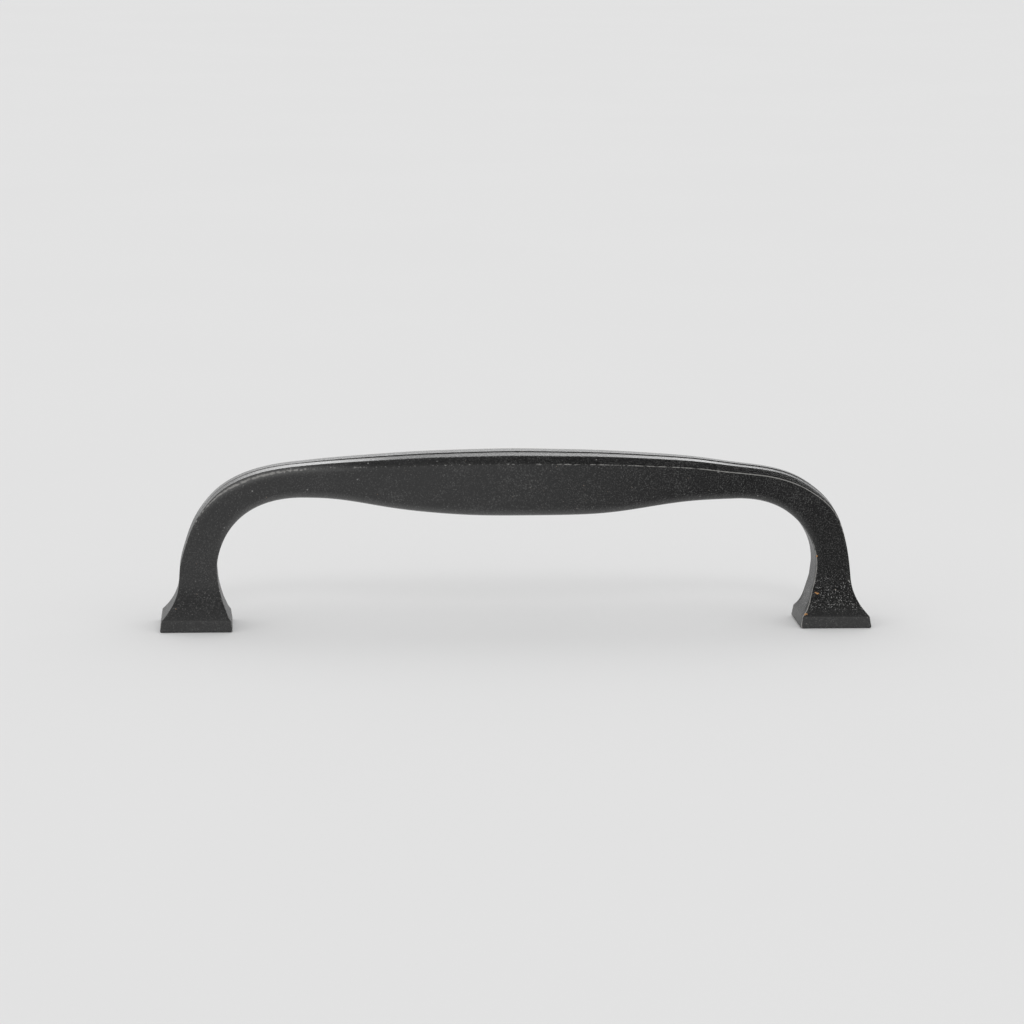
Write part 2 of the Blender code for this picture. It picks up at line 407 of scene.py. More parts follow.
@dataclass(frozen=True)
class FloorFinish:
    """Pale matt board with a slow, faint mottle."""

    low: Colour = (0.775, 0.775, 0.775)
    high: Colour = (0.790, 0.790, 0.790)
    mottle_noise: Noise = (120.0 * MM, 2.0)
    roughness: float = 0.50
    gloss: float = 0.0

    def material(self) -> bpy.types.Material:
        """Make the finish.

        Returns:
            The material.
        """
        made = Surface("floor_board")
        made.feed("Base Color", made.noise(*self.mottle_noise).tint(self.low, self.high))
        made.shader.inputs["Roughness"].default_value = self.roughness
        made.shader.inputs["Specular IOR Level"].default_value = self.gloss
        return made.material


def grid_object(
    name: str,
    points: np.ndarray,
    attributes: dict[str, np.ndarray],
    material: bpy.types.Material,
    ring: bool = False,
) -> bpy.types.Object:
    """Mesh over a grid of points whose columns close on themselves.

    Formula: point (i, j) joins (i + 1, j), (i + 1, j + 1) and (i, j + 1), with j counted
    round. The first and last rows are filled in, unless the rows close on themselves too.

    Args:
        name: The object's name.
        points: Array of (row, column, xyz).
        attributes: Values per (row, column), by attribute name.
        material: The finish.
        ring: Whether the rows close on themselves.

    Returns:
        The linked object, at the origin, with outward faces.
    """
    rows, columns = points.shape[:2]
    index = np.arange(rows * columns).reshape(rows, columns)
    below = np.roll(index, -1, axis=0) if ring else index[1:]
    here = index if ring else index[:-1]
    beside = np.roll(below, -1, axis=1), np.roll(here, -1, axis=1)
    quads = np.stack([here, below, *beside], axis=-1).reshape(-1, 4)
    flat = points.reshape(-1, 3)
    corner = flat[quads]
    inside = flat.mean(axis=0)
    face_normal = np.cross(corner[:, 2] - corner[:, 0], corner[:, 3] - corner[:, 1])
    volume = np.einsum("ij,ij->", face_normal, corner.mean(axis=1) - inside)
    caps = [] if ring else [index[0, ::-1].tolist(), index[-1].tolist()]
    faces = quads.tolist() + caps
    if volume < 0.0:
        faces = quads[:, ::-1].tolist() + [cap[::-1] for cap in caps]
    mesh = bpy.data.meshes.new(name)
    mesh.from_pydata(flat.tolist(), [], faces)
    mesh.shade_smooth()
    for label, values in attributes.items():
        layer = mesh.attributes.new(label, "FLOAT", "POINT")
        layer.data.foreach_set("value", np.ascontiguousarray(values, dtype=np.float32).ravel())
    mesh.materials.append(material)
    obj = bpy.data.objects.new(name, mesh)
    bpy.context.scene.collection.objects.link(obj)
    return obj


def bezier(corners: np.ndarray, t: np.ndarray) -> np.ndarray:
    """Points of a quadratic or cubic Bezier curve.

    Formula: the sum over corners of the binomial weight times t to the corner's place
    times (1 - t) to the places that are left.

    Args:
        corners: Control points along the first axis.
        t: Parameters from 0 to 1.

    Returns:
        Array of (parameter, value...).
    """
    order = len(corners) - 1
    place = np.arange(order + 1)
    count = np.array([math.comb(order, k) for k in place])
    weights = count * t[:, None] ** place * (1 - t[:, None]) ** (order - place)
    return np.tensordot(weights, np.asarray(corners), axes=(1, 0))


def smooth_step(t: np.ndarray) -> np.ndarray:
    """Smooth step from 0 at t = 0 to 1 at t = 1: three t squared less two t cubed.

    Args:
        t: Parameters.

    Returns:
        The step's values.
    """
    t = np.clip(t, 0.0, 1.0)
    return t * t * (3 - 2 * t)


def bell(distance: np.ndarray, width: float) -> np.ndarray:
    """Bell curve: the exponential of less the square of distance over width.

    Args:
        distance: Distances.
        width: Distance at which it has fallen to about a third.

    Returns:
        The curve's values.
    """
    return np.exp(-((distance / width) ** 2))


@dataclass(frozen=True)
class Swell:
    """A local change of the casting, which moves points by a bell curve of their place."""

    amount: float
    place: float
    width: float

    def at(self, where: np.ndarray) -> np.ndarray:
        """How far points are moved.

        Formula: the amount times a bell curve of the distance to its place over its width.

        Args:
            where: Places of the points, along the bow or up the leg.

        Returns:
            The distance for each.
        """
        return self.amount * bell(where - self.place, self.width)


@dataclass
class PullCasting:
    """The bow with its legs and feet, lofted finer than the CAD node that it stands for."""

    hole_centres: float = 128.0 * MM
    crown_height: float = 35.55 * MM
    crown_radius: float = 420.0 * MM
    belly_height: float = 23.0 * MM
    arch_height: float = 26.65 * MM
    arch_inset: float = 20.8 * MM
    bend_inset: float = 19.5 * MM
    belly_ease: float = 0.63
    arch_ease: float = 0.33
    inner_bend_ease: float = 0.59
    shoulder_ease: float = 0.70
    leg_ease: float = 0.59
    grip_depth: float = 9.0 * MM
    leg_depth: float = 7.4 * MM
    leg_width: float = 7.1 * MM
    leg_inset: float = 0.4 * MM
    leg_straight: float = 2.2 * MM
    leg_lean: float = 0.12
    bevel_reach: float = 1.35 * MM
    bevel_end_reach: float = 0.10 * MM
    bevel_rise: float = 1.4 * MM
    ledge_rise: float = 0.55 * MM
    riser_rise: float = 0.2 * MM
    riser_reach: float = 0.15 * MM
    top_width: float = 3.1 * MM
    arch_crown: float = 0.60
    crown_fade_start: float = 0.20
    crown_fade_end: float = 0.82
    foot_length: float = 14.3 * MM
    foot_depth: float = 12.6 * MM
    foot_draft: float = 0.25 * MM
    block_height: float = 2.3 * MM
    cove_height: float = 7.4 * MM
    block_round: float = 0.22 * MM
    foot_round: float = 0.42 * MM
    hole_radius: float = 2.2 * MM
    hole_depth: float = 9.5 * MM
    hole_mouth: float = 0.5 * MM
    thread_pitch: float = 0.7 * MM
    thread_depth: float = 0.14 * MM
    inner_round: float = 1.4 * MM
    inner_fade: float = 0.35
    corner_rounds: tuple[float, ...] = (0.32 * MM, 0.30 * MM, 0.12 * MM, 0.06 * MM, 0.08 * MM)
    round_limit: float = 0.45
    drill_point: float = 1.10 * MM
    drill_tip: float = 0.11 * MM
    # Steps of the grid: round the front half of a section, and then along the casting.
    corner_steps: tuple[int, ...] = (7, 6, 4, 4, 4)
    flat_steps: tuple[int, ...] = (5, 16, 4, 4, 1, 3)
    grip_steps: int = 64
    bend_steps: int = 64
    cove_steps: int = 24
    block_steps: int = 6
    underside_steps: int = 8
    hole_steps: int = 96
    # What this copy's crown and inner edge have of their own on each side.
    left_crown_loss: float = 0.32
    left_loss_start: float = 0.5
    left_top_loss: float = 0.25 * MM
    right_top_loss: float = 0.75 * MM
    bevel_shift: float = 0.50 * MM
    ledge_drop: float = 0.6
    rim_drop: float = 0.20 * MM
    rim_reach: float = 7.0 * MM
    right_arch_sag: Swell = Swell(0.60 * MM, 40.0 * MM, 10.0 * MM)
    right_belly_sag: Swell = Swell(0.25 * MM, 18.0 * MM, 8.0 * MM)
    left_leg_drop: float = 0.20 * MM
    right_leg_drop: float = -0.10 * MM
    left_cove_fill: Swell = Swell(0.45 * MM, 7.0 * MM, 3.5 * MM)
    right_cove_fill: Swell = Swell(0.60 * MM, 7.0 * MM, 3.0 * MM)
    leg_rim_start: float = 3.0 * MM
    leg_rim_run: float = 10.0 * MM
    block_rim_run: float = 2.0 * MM
    # Changes along X of the legs' outer sides, and of the crown's height at the right arch.
    right_shoulder: Swell = Swell(0.60 * MM, 26.0 * MM, 5.0 * MM)
    left_leg: Swell = Swell(-0.40 * MM, 12.5 * MM, 4.0 * MM)
    left_shoulder: Swell = Swell(0.30 * MM, 27.0 * MM, 4.0 * MM)
    crown_dip: Swell = Swell(-0.42 * MM, 45.0 * MM, 8.0 * MM)
    outer_start: float = 58.0 * MM
    outer_run: float = 7.0 * MM
    dip_start: float = 27.0 * MM
    dip_run: float = 5.0 * MM
    # Two slow waves for each of X, Y and Z: radians per wave_length along each axis, and a phase.
    waviness: float = 0.035 * MM
    wave_length: float = 9.0 * MM
    waves: tuple[tuple[tuple[float, ...], ...], ...] = (
        ((1.3, 0.0, 2.1, 0.0), (2.9, 0.0, -1.7, 0.8)),
        ((0.9, 0.0, 2.3, 1.0), (2.3, 0.0, -2.6, 0.0)),
        ((1.1, 1.9, 0.0, 2.0), (3.1, 0.0, 0.5, 0.0)),
    )
    # Wear of the inner edge, the face's top, the bevel's top, the riser's foot and the top's edge.
    middle_wear: tuple[float, ...] = (0.0, 0.50, 0.10, 0.0, 0.25)
    left_grip_wear: tuple[float, ...] = (0.0, 0.44, 0.15, 0.0, 0.25)
    right_grip_wear: tuple[float, ...] = (0.0, 0.95, 0.25, 0.0, 0.25)
    left_bend_wear: tuple[float, ...] = (0.0, 0.80, 0.25, 0.0, 0.20)
    right_bend_wear: tuple[float, ...] = (0.0, 1.40, 0.30, 0.0, 0.20)
    left_foot_wear: tuple[float, ...] = (0.50, 0.42, 0.0, 0.0, 0.0)
    right_foot_wear: tuple[float, ...] = (0.95, 0.42, 0.0, 0.0, 0.0)
    left_narrowing: float = 0.42
    right_narrowing: float = 7.0
    foot_narrowing: float = 2.5
    wear_width: float = 0.26 * MM
    middle_run: float = 0.40
    bend_start: float = 0.55
    bend_run: float = 0.25
    arris_wear: float = 0.40
    arris_width: float = 0.156 * MM
    # The scratch and the rust chips, in millimetres.
    scratch_ends: tuple[Triple, ...] = ((66.2, -3.7, 9.9), (67.0, -3.75, 9.0))
    scratch_width: float = 0.14 * MM
    rust_chips: tuple[Triple, ...] = (
        (59.9, -3.95, 7.0),
        (60.6, -4.05, 6.7),
        (57.8, -5.7, 2.85),
        (58.3, -5.8, 2.7),
        (60.2, -3.7, 14.3),
        (60.4, -3.4, 12.4),
    )
    chip_size: float = 0.27 * MM
    least_rust: float = 0.75
    worn_rust: float = 0.50
    # Places of the painted highlight, of the grit that shows painted glints and of the matt parts of the
    # finish.
    highlight_reach: float = 1.7 * MM
    foot_highlight: float = 0.22
    foot_highlight_run: float = 4.44 * MM
    bend_highlight_power: float = 0.15
    bend_highlight_gain: float = 3.0
    grit_top: float = 14.0 * MM
    grit_run: float = 8.0 * MM
    grit_foot: float = 0.4 * MM
    grit_foot_run: float = 1.6 * MM
    least_grit: float = 0.1
    left_grit: float = 0.20
    full_sheen: float = 0.95
    matt_sheen: float = 0.18
    matt_start: float = -40.0 * MM
    matt_run: float = 88.0 * MM
    face_start: float = 3.2 * MM
    face_run: float = 0.4 * MM
    matt_foot: float = 1.8 * MM
    matt_foot_run: float = 3.0 * MM
    leg_side_loss: float = 0.55
    leg_run: float = 6.0 * MM
    leg_start: float = 0.75

    @property
    def foot_x(self) -> float:
        """Place of a foot's middle along the pull."""
        return self.hole_centres / 2

    def grip_stations(self) -> np.ndarray:
        """Stations from the middle of the grip to the arch.

        Formula: the inner edge is a cubic from the belly to the arch, flat at both ends.
        The outer edge falls from the crown by the square of its place over twice the
        crown's radius. The depth swells by the square of a cosine.

        Returns:
            Array of (station, inner x, inner z, outer x, outer z, half depth, crown share,
            softness of the inner edge).
        """
        t = np.linspace(0.0, 1.0, self.grip_steps + 1)
        arch_x = self.foot_x - self.arch_inset
        corners = [
            (0.0, self.belly_height),
            (self.belly_ease * arch_x, self.belly_height),
            ((1 - self.arch_ease) * arch_x, self.arch_height),
            (arch_x, self.arch_height),
        ]
        inner = bezier(np.array(corners), t)
        run = inner[:, 0] / arch_x
        crown_x = (self.foot_x - self.bend_inset) * run
        crown_z = self.crown_height - crown_x**2 / (2 * self.crown_radius)
        swell = np.cos(run * math.pi / 2) ** 2
        half = (self.leg_depth + (self.grip_depth - self.leg_depth) * swell) / 2
        share = 1 - (1 - self.arch_crown) * run**2
        return np.column_stack([inner, crown_x, crown_z, half, share, np.ones_like(t)])

    def bend_stations(self) -> np.ndarray:
        """Stations round the bend, where the crown fades out into the leg.

        Formula: both edges are cubics from the grip's direction to the leg's.

        Returns:
            Stations as in grip_stations, without the first.
        """
        t = np.linspace(0.0, 1.0, self.bend_steps + 1)[1:]
        arch_x = self.foot_x - self.arch_inset
        bend_x = self.foot_x - self.bend_inset
        leg_top = self.block_height + self.cove_height + self.leg_straight
        leg_in = self.foot_x - self.leg_inset - self.leg_width / 2
        leg_out = leg_in + self.leg_width - self.leg_lean * self.leg_straight
        crown_end = self.crown_height - bend_x**2 / (2 * self.crown_radius)
        reach = self.shoulder_ease * (leg_out - bend_x)
        rise = self.leg_ease * (crown_end - leg_top)
        inner = [
            (arch_x, self.arch_height),
            (arch_x + self.inner_bend_ease * (leg_in - arch_x), self.arch_height),
            (leg_in, leg_top + self.inner_bend_ease * (self.arch_height - leg_top)),
            (leg_in, leg_top),
        ]
        outer = [
            (bend_x, crown_end),
            (bend_x + reach, crown_end - reach * bend_x / self.crown_radius),
            (leg_out - self.leg_lean * rise, leg_top + rise),
            (leg_out, leg_top),
        ]
        half = np.full_like(t, self.leg_depth / 2)
        fade = smooth_step((t - self.crown_fade_start) / (self.crown_fade_end - self.crown_fade_start))
        share = self.arch_crown * (1 - fade)
        soft = 1 - smooth_step((t - self.inner_fade) / (1 - self.inner_fade))
        return np.column_stack([bezier(np.array(inner), t), bezier(np.array(outer), t), half, share, soft])

    def foot_stations(self) -> np.ndarray:
        """Stations down the coves and the block, to the underside.

        Formula: each side stands out by its cove's radius less the root of radius squared
        less drop squared, and the block's two arrises are quadratic curves.

        Returns:
            Stations as in grip_stations.
        """
        leg_in = self.foot_x - self.leg_inset - self.leg_width / 2
        leg_out = leg_in + self.leg_width
        half = self.leg_depth / 2
        lean = self.leg_lean * self.cove_height
        top_length = self.foot_length / 2 - self.foot_draft
        top_depth = self.foot_depth / 2 - self.foot_draft
        inward = leg_in - self.foot_x + top_length
        outward = self.foot_x + top_length - leg_out - lean
        reach = np.array([inward, outward, top_depth - half])
        radius = (self.cove_height**2 + reach**2) / (2 * reach)
        drop = np.linspace(0.0, self.cove_height - self.block_round, self.cove_steps + 1)[:, None]
        out = radius - np.sqrt(radius**2 - drop**2)
        cove = np.column_stack(
            [
                leg_in - out[:, 0],
                leg_out + self.leg_lean * drop[:, 0] + out[:, 1],
                half + out[:, 2],
                self.block_height + self.cove_height - drop[:, 0],
            ]
        )
        side = np.array([-1.0, 1.0, 1.0, 0.0])
        arris = np.array([self.foot_x - top_length, self.foot_x + top_length, top_depth, self.block_height])
        below = arris - np.array([0.0, 0.0, 0.0, self.block_round])
        bottom = arris + self.foot_draft * side
        bottom[3] = 0.0
        above_bottom = bottom + np.array([0.0, 0.0, 0.0, self.foot_round])
        underside = bottom - self.foot_round * side
        t = np.linspace(0.0, 1.0, self.block_steps + 1)
        block = np.linspace(below, above_bottom, self.block_steps + 1)[1:-1]
        arris_curve = bezier(np.stack([cove[-1], arris, below]), t)[1:]
        foot_curve = bezier(np.stack([above_bottom, bottom, underside]), t)
        rows = np.concatenate([cove, arris_curve, block, foot_curve])
        inner_x, outer_x, half_depth, z = rows.T
        return np.column_stack([inner_x, z, outer_x, z, half_depth, 0 * z, 0 * z])

    def own_crown(self, stations: np.ndarray, side: Side) -> np.ndarray:
        """Give one half its own crown, because the casting is not quite even.

        Formula: the half width of the top falls by the square of the place along the bow.
        On the left the crown's share falls by a smooth step of that place, and on the right
        the bevel takes over part of the ledge by its square.

        Args:
            stations: Array as grip_stations gives.
            side: The half.

        Returns:
            The stations, with the half width of the top and the bevel's shift as two more columns.
        """
        run = np.clip(stations[:, 2] / (self.foot_x - self.bend_inset), 0.0, 1.0)
        loss = self.left_top_loss if side is Side.LEFT else self.right_top_loss
        shift = run**2 * np.minimum(stations[:, 5] / self.arch_crown, 1.0) * (side is Side.RIGHT)
        made = np.column_stack([stations, self.top_width / 2 - loss * run**2, shift])
        if side is Side.LEFT:
            fall = smooth_step((run - self.left_loss_start) / (1 - self.left_loss_start))
            made[:, 5] *= 1 - self.left_crown_loss * fall
        return made

    def rim(self, stations: np.ndarray, side: Side) -> np.ndarray:
        """How far the inner edge of one half stands out beyond its even line.

        Formula: an even drop along the bow with bell curves at the right arch and beside
        the middle, and down each leg a bell curve of height at the cove.

        Args:
            stations: Array as own_crown gives.
            side: The half.

        Returns:
            Distance per station.
        """
        x, z = stations[:, 0], stations[:, 1]
        bow = self.rim_drop + 0 * x
        leg = self.left_leg_drop + self.left_cove_fill.at(z)
        if side is Side.RIGHT:
            bow = bow + self.right_arch_sag.at(x) + self.right_belly_sag.at(x)
            leg = self.right_leg_drop + self.right_cove_fill.at(z)
        below_arch = (self.arch_height - self.leg_rim_start - z) / self.leg_rim_run
        down = smooth_step(below_arch) * (x > self.foot_x / 2)
        hold = smooth_step((z - self.block_height) / self.block_rim_run)
        return (bow * (1 - down) + leg * down) * hold

    def section(self, stations: np.ndarray) -> tuple[np.ndarray, np.ndarray]:
        """Front half of each station's section, with how near each point is to each corner.

        Formula: straight runs between the corners of the stepped crown, the face and the
        inner side, joined by a quadratic curve at each corner. Nearness is a bell curve of
        the distance to the corner.

        Args:
            stations: Array as own_crown gives.

        Returns:
            Points (station, point, out and up) and nearness (station, point, corner).
        """
        height = np.linalg.norm(stations[:, 2:4] - stations[:, 0:2], axis=1)
        half, share, soft, top, shift = stations[:, 4:9].T
        zero = np.zeros_like(height)
        riser = self.riser_rise * np.minimum(share / self.arch_crown, 1.0)
        low = riser + self.ledge_rise * share
        ledge = low - self.ledge_drop * self.ledge_rise * share * shift
        bevel = self.bevel_end_reach + (self.bevel_reach - self.bevel_end_reach) * share
        bevel = bevel + self.bevel_shift * shift
        corners = np.stack(
            [
                np.stack([zero, zero], axis=1),
                np.stack([half, zero], axis=1),
                np.stack([half, height - low - self.bevel_rise * share], axis=1),
                np.stack([half - bevel, height - ledge], axis=1),
                np.stack([top + self.riser_reach, height - riser], axis=1),
                np.stack([top, height], axis=1),
                np.stack([zero, height], axis=1),
            ]
        )
        edges = np.diff(corners, axis=0)
        length = np.linalg.norm(edges, axis=2, keepdims=True)
        unit = edges / length
        rounds = np.array(self.corner_rounds)[:, None, None] + 0 * length[:-1]
        rounds[0, :, 0] += (self.inner_round - rounds[0, :, 0]) * soft
        before = corners[1:-1] - unit[:-1] * np.minimum(rounds, self.round_limit * length[:-1])
        after = corners[1:-1] + unit[1:] * np.minimum(rounds, self.round_limit * length[1:])
        starts = np.concatenate([corners[:1], after])
        ends = np.concatenate([before, corners[-1:]])
        runs = []
        for k, flat in enumerate(self.flat_steps):
            runs.append(np.linspace(starts[k], ends[k], flat + 1)[1 if k else 0 : -1])
            if k < len(self.corner_steps):
                t = np.linspace(0.0, 1.0, self.corner_steps[k])
                runs.append(bezier(np.stack([before[k], corners[k + 1], after[k]]), t))
        points = np.concatenate(runs).transpose(1, 0, 2)
        middles = (before + 2 * corners[1:-1] + after).transpose(1, 0, 2) / 4
        away = np.linalg.norm(points[:, :, None] - middles[:, None], axis=3)
        return points, bell(away, self.wear_width)

    def underside(self, ring: np.ndarray) -> np.ndarray:
        """Rows from the foot's outline across the underside and up the tapped hole.

        Formula: each point runs straight to the hole's mouth at its own angle. Up the hole
        the radius is the bore less the thread's depth times a triangle wave of height over
        pitch less angle over a full turn.

        Args:
            ring: The foot's outline on the underside, as (column, xyz).

        Returns:
            Array of (row, column, xyz).
        """
        angle = np.arctan2(ring[:, 1], ring[:, 0] - self.foot_x)
        mouth = self.hole_radius + self.hole_mouth
        circle = np.stack([self.foot_x + mouth * np.cos(angle), mouth * np.sin(angle), 0 * angle], axis=1)
        flat = np.linspace(ring, circle, self.underside_steps + 1)[1:]
        z = np.linspace(self.hole_mouth, self.hole_depth, self.hole_steps)[:, None]
        wave = np.abs(((z / self.thread_pitch - angle / math.tau) % 1.0) * 2 - 1)
        run_out = smooth_step((self.hole_depth - z) / self.thread_pitch)
        radius = self.hole_radius - self.thread_depth * wave * run_out
        point_z = np.array([[self.hole_depth + self.drill_point]])
        radius = np.concatenate([radius, np.full((1, len(angle)), self.drill_tip)])
        z = np.concatenate([z, point_z]) + 0 * angle
        hole = np.stack([self.foot_x + radius * np.cos(angle), radius * np.sin(angle), z], axis=2)
        return np.concatenate([flat, hole])

    def surface(self) -> tuple[np.ndarray, np.ndarray, np.ndarray]:
        """The whole casting as a grid.

        Formula: the left half's rows from its hole to the middle, mirrored in X, and then
        the right half's rows from the middle to its hole.

        Returns:
            Points (row, column, xyz), wear and painted highlight (row, column).
        """
        even = np.concatenate([self.grip_stations(), self.bend_stations(), self.foot_stations()[1:]])
        left, right = (self.half_surface(self.own_crown(even, side), side) for side in Side)
        left[:, :, 0] *= -1.0
        whole = np.concatenate([left[:0:-1], right])
        points, wear, painted_highlight = whole[:, :, :3], whole[:, :, 3], whole[:, :, 4]
        wear = np.maximum(wear, self.scratch(points))
        return self.uneven(self.as_cast(points)), wear, painted_highlight

    def half_surface(self, stations: np.ndarray, side: Side) -> np.ndarray:
        """One half of the casting, on the side of positive X.

        Formula: a section point stands at the station's inner edge plus its height along
        the line to the outer edge, and at its own distance in front of the middle plane.
        The back is the front mirrored in Y.

        Args:
            stations: Array as own_crown gives.
            side: The half.

        Returns:
            Array of (row, column, x, y, z, wear, painted highlight).
        """
        section, near = self.section(stations)
        across = (stations[:, 2:4] - stations[:, 0:2])[:, None]
        unit = across / np.linalg.norm(across, axis=2, keepdims=True)
        up = section[:, :, 1]
        painted_highlight = self.painted_highlight(stations, up, near, side)
        up = up - self.rim(stations, side)[:, None] * (1 - smooth_step(up / self.rim_reach))
        profile = stations[:, None, 0:2] + up[:, :, None] * unit
        front = np.stack([profile[:, :, 0], -section[:, :, 0], profile[:, :, 1]], axis=2)
        rows = np.concatenate([front, front[:, :0:-1] * (1.0, -1.0, 1.0)], axis=1)
        near = np.concatenate([near, near[:, :0:-1]], axis=1)
        painted_highlight = np.concatenate([painted_highlight, painted_highlight[:, :0:-1]], axis=1)
        wear = self.wear(stations, rows, near, side)
        made = np.concatenate([rows, wear[:, :, None], painted_highlight[:, :, None]], axis=2)
        hole = self.underside(rows[-1])
        return np.concatenate([made, np.concatenate([hole, 0 * hole[:, :, :2]], axis=2)])

    def painted_highlight(self, stations: np.ndarray, up: np.ndarray, near: np.ndarray, side: Side) -> np.ndarray:
        """Painted highlight: where one half is painted a little paler, for light that its edges catch.

        Formula: a smooth step down the last part of the face to the inner edge, another down
        the foot to its block and, round the left bend, a low power of the nearness to the top
        of the face.

        Args:
            stations: Array as own_crown gives.
            up: Heights of the section's points from the inner edge (station, point).
            near: Nearness to each corner (station, point, corner).
            side: The half.

        Returns:
            Painted highlight per (station, point).
        """
        foot = 1 - smooth_step((stations[:, 1:2] - self.block_height) / self.foot_highlight_run)
        rim = stations[:, 6:7] * (1 - smooth_step(up / self.highlight_reach))
        rim = np.maximum(rim, self.foot_highlight * foot)
        if side is Side.RIGHT:
            return rim
        bend = smooth_step((stations[:, 2:3] / self.foot_x - self.middle_run) / self.middle_run)
        crown = np.minimum(self.bend_highlight_gain * stations[:, 5:6], 1.0)
        return np.maximum(rim, bend * crown * near[:, :, 1] ** self.bend_highlight_power)

    def wear(self, stations: np.ndarray, rows: np.ndarray, near: np.ndarray, side: Side) -> np.ndarray:
        """How worn one half of the casting is.

        Formula: each corner's nearness, to a power that narrows it, times its wear on the
        grip, the bend or the foot, taking the largest, and a bell curve round the top edge
        of the foot's block.

        Args:
            stations: Array as own_crown gives.
            rows: Points (station, column, xyz).
            near: Nearness to each corner (station, column, corner).
            side: The half.

        Returns:
            Wear per (station, column).
        """
        wears = {
            Side.LEFT: (self.left_grip_wear, self.left_bend_wear, self.left_foot_wear),
            Side.RIGHT: (self.right_grip_wear, self.right_bend_wear, self.right_foot_wear),
        }
        grip_wear, bend_wear, foot_wear = np.array(wears[side])
        narrowing = self.left_narrowing if side is Side.LEFT else self.right_narrowing
        run = stations[:, 2:3] / self.foot_x
        out = smooth_step(run / self.middle_run)
        bend = smooth_step((run - self.bend_start) / self.bend_run)
        foot = smooth_step(2 - 2 * stations[:, 1:2] / self.arch_height)
        grip = np.array(self.middle_wear) * (1 - out) + grip_wear * out
        amount = (grip * (1 - bend) + bend_wear * bend) * (1 - foot) + foot_wear * foot
        power = (1 + (narrowing - 1) * out) * (1 - foot) + self.foot_narrowing * foot
        edge = (near ** power[:, None] * amount[:, None]).max(axis=2)
        low = rows[:, :, 2] < self.block_height + self.cove_height / 2
        arris = self.arris_wear * bell(rows[:, :, 2] - self.block_height, self.arris_width) * low
        return np.maximum(edge, arris)

    def scratch(self, points: np.ndarray) -> np.ndarray:
        """One short scratch at the edge of the right leg.

        Formula: a bell curve of the distance to the line between the scratch's ends.

        Args:
            points: Array of (row, column, xyz).

        Returns:
            Wear per (row, column).
        """
        start, end = np.array(self.scratch_ends) * MM
        along = np.clip((points - start) @ (end - start) / ((end - start) @ (end - start)), 0.0, 1.0)
        away = np.linalg.norm(points - start - along[:, :, None] * (end - start), axis=2)
        return bell(away, self.scratch_width)

    def as_cast(self, points: np.ndarray) -> np.ndarray:
        """The casting's own lopsidedness.

        Formula: outside the legs' middles, points move along X by bell curves of height,
        outwards on the right shoulder and low on the left leg, and inwards on the left
        shoulder. The crown dips at the right arch by a bell curve along the bow.

        Args:
            points: Array of (row, column, xyz).

        Returns:
            The moved points.
        """
        x, _, z = points.transpose(2, 0, 1)
        right_out = smooth_step((x - self.outer_start) / self.outer_run)
        left_out = smooth_step((-x - self.outer_start) / self.outer_run)
        sideways = self.right_shoulder.at(z) * right_out
        sideways = sideways + (self.left_leg.at(z) + self.left_shoulder.at(z)) * left_out
        dip = self.crown_dip.at(x) * smooth_step((z - self.dip_start) / self.dip_run)
        return points + np.stack([sideways, 0 * x, dip], axis=2)

    def uneven(self, points: np.ndarray) -> np.ndarray:
        """Slow unevenness of a sand casting.

        Formula: each point moves along each axis by half the waviness times the sum of two
        sines of its place, and not at all on the underside.

        Args:
            points: Array of (row, column, xyz).

        Returns:
            The moved points.
        """
        waves = np.array(self.waves)
        turn = np.tensordot(points / self.wave_length, waves[:, :, :3], axes=(2, 2)) + waves[:, :, 3]
        hold = smooth_step(points[:, :, 2:] / self.block_height)
        return points + self.waviness / 2 * np.sin(turn).sum(axis=3) * hold

    def grit_glint(self, points: np.ndarray) -> np.ndarray:
        """How coarse the sand's print is, which sets how many painted glints it shows.

        Formula: a smooth step of the height down from the leg's top, fading out again just
        over the block, and much fainter on the left.

        Args:
            points: Array of (row, column, xyz).

        Returns:
            Grit per (row, column), from least_grit to 1.
        """
        x, _, z = points.transpose(2, 0, 1)
        low = smooth_step((self.grit_top - z) / self.grit_run)
        low = low * smooth_step((z - self.block_height - self.grit_foot) / self.grit_foot_run)
        return self.least_grit + (1 - self.least_grit) * low * np.where(x > 0.0, 1.0, self.left_grit)

    def sheen(self, points: np.ndarray) -> np.ndarray:
        """How much of the satin coat is left.

        Formula: full sheen, less a share that grows from left to right on the front and back
        faces and fades out down the foot. The inner and outer sides of the legs have less.

        Args:
            points: Array of (row, column, xyz).

        Returns:
            Sheen per (row, column).
        """
        x, y, z = points.transpose(2, 0, 1)
        right = smooth_step((x - self.matt_start) / self.matt_run) ** 2
        face = smooth_step((np.abs(y) - self.face_start) / self.face_run)
        high = smooth_step((z - self.matt_foot) / self.matt_foot_run)
        made = self.full_sheen - (self.full_sheen - self.matt_sheen) * right * face * high
        column = np.arange(points.shape[1])
        column = np.minimum(column, len(column) - column)
        first = self.flat_steps[0] + self.corner_steps[0] // 2
        last = first + self.corner_steps[0] + self.flat_steps[1]
        side = (column < first) | (column > last)
        leg = smooth_step((self.arch_height - z) / self.leg_run) * (np.abs(x) > self.leg_start * self.foot_x)
        return made * (1 - self.leg_side_loss * side * leg)

    def rust(self, points: np.ndarray, wear: np.ndarray) -> np.ndarray:
        """Where the finish is chipped down to rust.

        Formula: a bell curve of the distance to the nearest of a few chips on the right foot,
        times a share that grows with the wear.

        Args:
            points: Array of (row, column, xyz).
            wear: Wear per (row, column).

        Returns:
            Rust per (row, column).
        """
        chips = np.array(self.rust_chips) * MM
        away = np.linalg.norm(points[:, :, None] - chips, axis=3)
        chipped = bell(away, self.chip_size).max(axis=2)
        return np.clip(chipped * (self.least_rust + self.worn_rust * wear), 0.0, 1.0)

